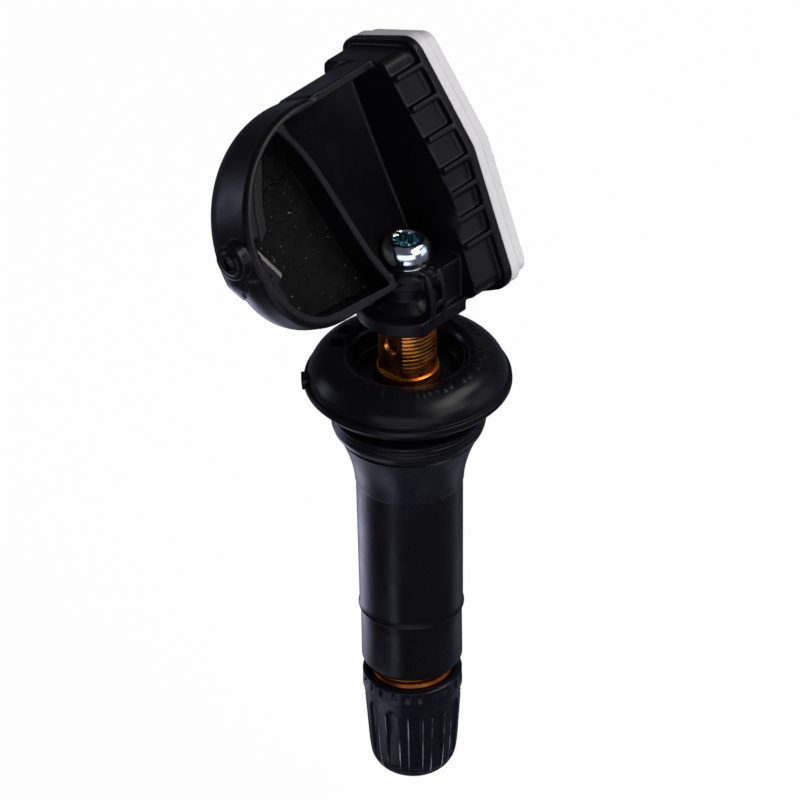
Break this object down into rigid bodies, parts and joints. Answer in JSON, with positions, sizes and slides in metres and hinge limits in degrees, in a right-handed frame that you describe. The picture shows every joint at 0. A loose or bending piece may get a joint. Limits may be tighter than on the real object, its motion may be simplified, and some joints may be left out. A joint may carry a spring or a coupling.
{
  "type": "tyre pressure sensor valve",
  "caption": "Snap-in rubber tyre valve with a pressure sensor housing screwed to its inner end and a fluted cap on its thread.",
  "frame": {"origin": "on the valve's axis, at the face of the rubber flange that bears on the inside of the rim", "axes": "+Z along the valve towards the sensor, inside the tyre; the cap is at -Z; +X out through the sensor's white lid"},
  "size_m": [0.0292, 0.0235, 0.0745],
  "materials": {
    "valve_rubber": "matt black valve rubber",
    "stem_brass": "turned brass",
    "core_brass": "turned brass",
    "core_rubber": "black seal rubber",
    "gasket_red": "red gasket",
    "spring_steel": "drawn spring wire",
    "cap_plastic": "satin black plastic",
    "seal_rubber": "grey seal rubber",
    "screw_zinc": "bright zinc plate",
    "housing_plastic": "fine-grained black plastic",
    "lid_plastic": "white plastic",
    "board_green": "green laminate",
    "cell_steel": "nickel-plated can",
    "tab_nickel": "nickel strip",
    "chip_black": "black epoxy",
    "crystal_metal": "metal can",
    "capacitor_tan": "ceramic",
    "ferrite": "ferrite",
    "copper_wire": "enamelled copper",
    "filter_white": "porous membrane"
  },
  "bodies": {
    "sensor": {"rubber_body": "valve_rubber", "brass_stem": "stem_brass", "core_body": "core_brass", "core_gasket": "gasket_red", "core_spring": "spring_steel", "mounting_screw": "screw_zinc", "sensor_housing": "housing_plastic", "base_lid": "lid_plastic", "circuit_board": "board_green", "coin_cell": "cell_steel", "cell_tab_positive": "tab_nickel", "cell_tab_negative": "tab_nickel", "pressure_chip": "chip_black", "radio_chip": "chip_black", "quartz_crystal": "crystal_metal", "chip_capacitors": "capacitor_tan", "coil_core": "ferrite", "trigger_coil": "copper_wire", "antenna_wire": "copper_wire", "port_filter": "filter_white"},
    "cap_slider": {"cap_seal": "seal_rubber"},
    "cap_shell": {"valve_cap": "cap_plastic"},
    "core_plunger": {"core_pin": "core_brass", "core_cup": "core_brass", "core_cup_seal": "core_rubber"}
  },
  "joints": [
    {"name": "cap_lift", "type": "slide", "parent": "sensor", "child": "cap_slider", "axis": [0, 0, -1], "range_m": [0, 0.0105]},
    {"name": "cap_turn", "type": "hinge", "parent": "cap_slider", "child": "cap_shell", "pos_m": [0, 0, -0.037], "axis": [0, 0, -1], "range_deg": [0, 4762]},
    {"name": "core_press", "type": "slide", "parent": "sensor", "child": "core_plunger", "axis": [0, 0, 1], "range_m": [0, 0.0012], "stiffness_N_per_m": 400, "springref_m": -0.0006, "deforming": ["core_spring"]}
  ],
  "couplings": [
    {"joint": "cap_turn", "follows": "cap_lift", "rad_per_m": 7913.3}
  ]
}
